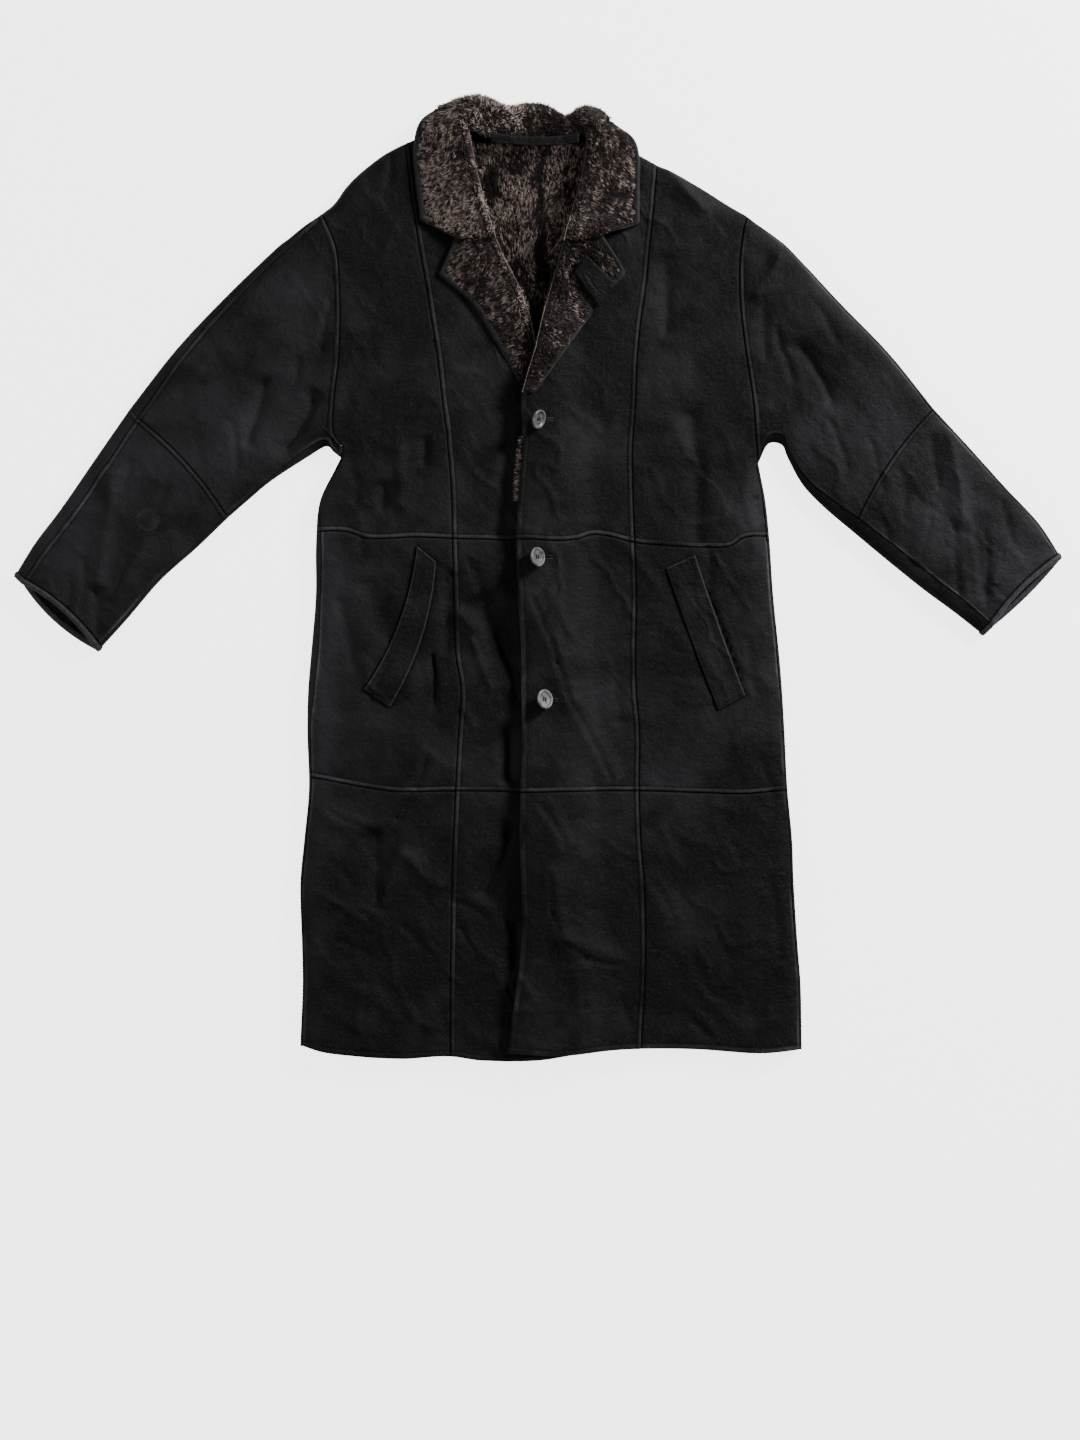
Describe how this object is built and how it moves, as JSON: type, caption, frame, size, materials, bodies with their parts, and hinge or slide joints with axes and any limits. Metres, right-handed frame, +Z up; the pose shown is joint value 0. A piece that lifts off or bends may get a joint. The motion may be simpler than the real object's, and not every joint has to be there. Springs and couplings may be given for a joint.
{
  "type": "sheepskin coat",
  "caption": "Long shearling coat laid flat on its back, buttoned, with its wool collar and lapels turned over the fronts.",
  "frame": {"origin": "middle of the coat's outline on the surface that it lies on", "axes": "+Z up from the surface, +Y from hem to collar, +X from the wearer's right sleeve to the left one"},
  "size_m": [1.3616, 1.2533, 0.0648],
  "materials": {
    "sheepskin": "black suede-soft nappa",
    "wool": "dark brown sheared wool with grey tips",
    "binding": "smooth black leather",
    "button": "grey polished horn"
  },
  "bodies": {
    "root": {"back_right_lower": "sheepskin", "back_right_middle": "sheepskin", "back_right_upper": "sheepskin", "back_left_lower": "sheepskin", "back_left_middle": "sheepskin", "back_left_upper": "sheepskin", "front_right_lower_side": "sheepskin", "front_right_lower_centre": "sheepskin", "front_right_middle_side": "sheepskin", "front_right_middle_centre": "sheepskin", "front_right_upper_side": "sheepskin", "front_right_upper_centre": "sheepskin", "front_left_lower_side": "sheepskin", "front_left_lower_centre": "sheepskin", "front_left_middle_side": "sheepskin", "front_left_middle_centre": "sheepskin", "front_left_upper_side": "sheepskin", "front_left_upper_centre": "sheepskin", "lapel_right": "wool", "lapel_left": "wool", "collar_right": "wool", "collar_left": "wool", "lapel_binding_right": "binding", "lapel_binding_left": "binding", "collar_binding_right": "binding", "collar_binding_left": "binding", "sleeve_right_upper_back": "sheepskin", "sleeve_right_upper_front": "sheepskin", "sleeve_right_lower_back": "sheepskin", "sleeve_right_lower_front": "sheepskin", "sleeve_left_upper_back": "sheepskin", "sleeve_left_upper_front": "sheepskin", "sleeve_left_lower_back": "sheepskin", "sleeve_left_lower_front": "sheepskin", "cuff_right_back": "binding", "cuff_right_front": "binding", "cuff_left_back": "binding", "cuff_left_front": "binding", "pocket_welt_right": "sheepskin", "pocket_welt_left": "sheepskin", "lapel_tab": "binding", "hanger_loop": "binding", "button_1": "button", "button_2": "button", "button_3": "button"}
  },
  "joints": []
}
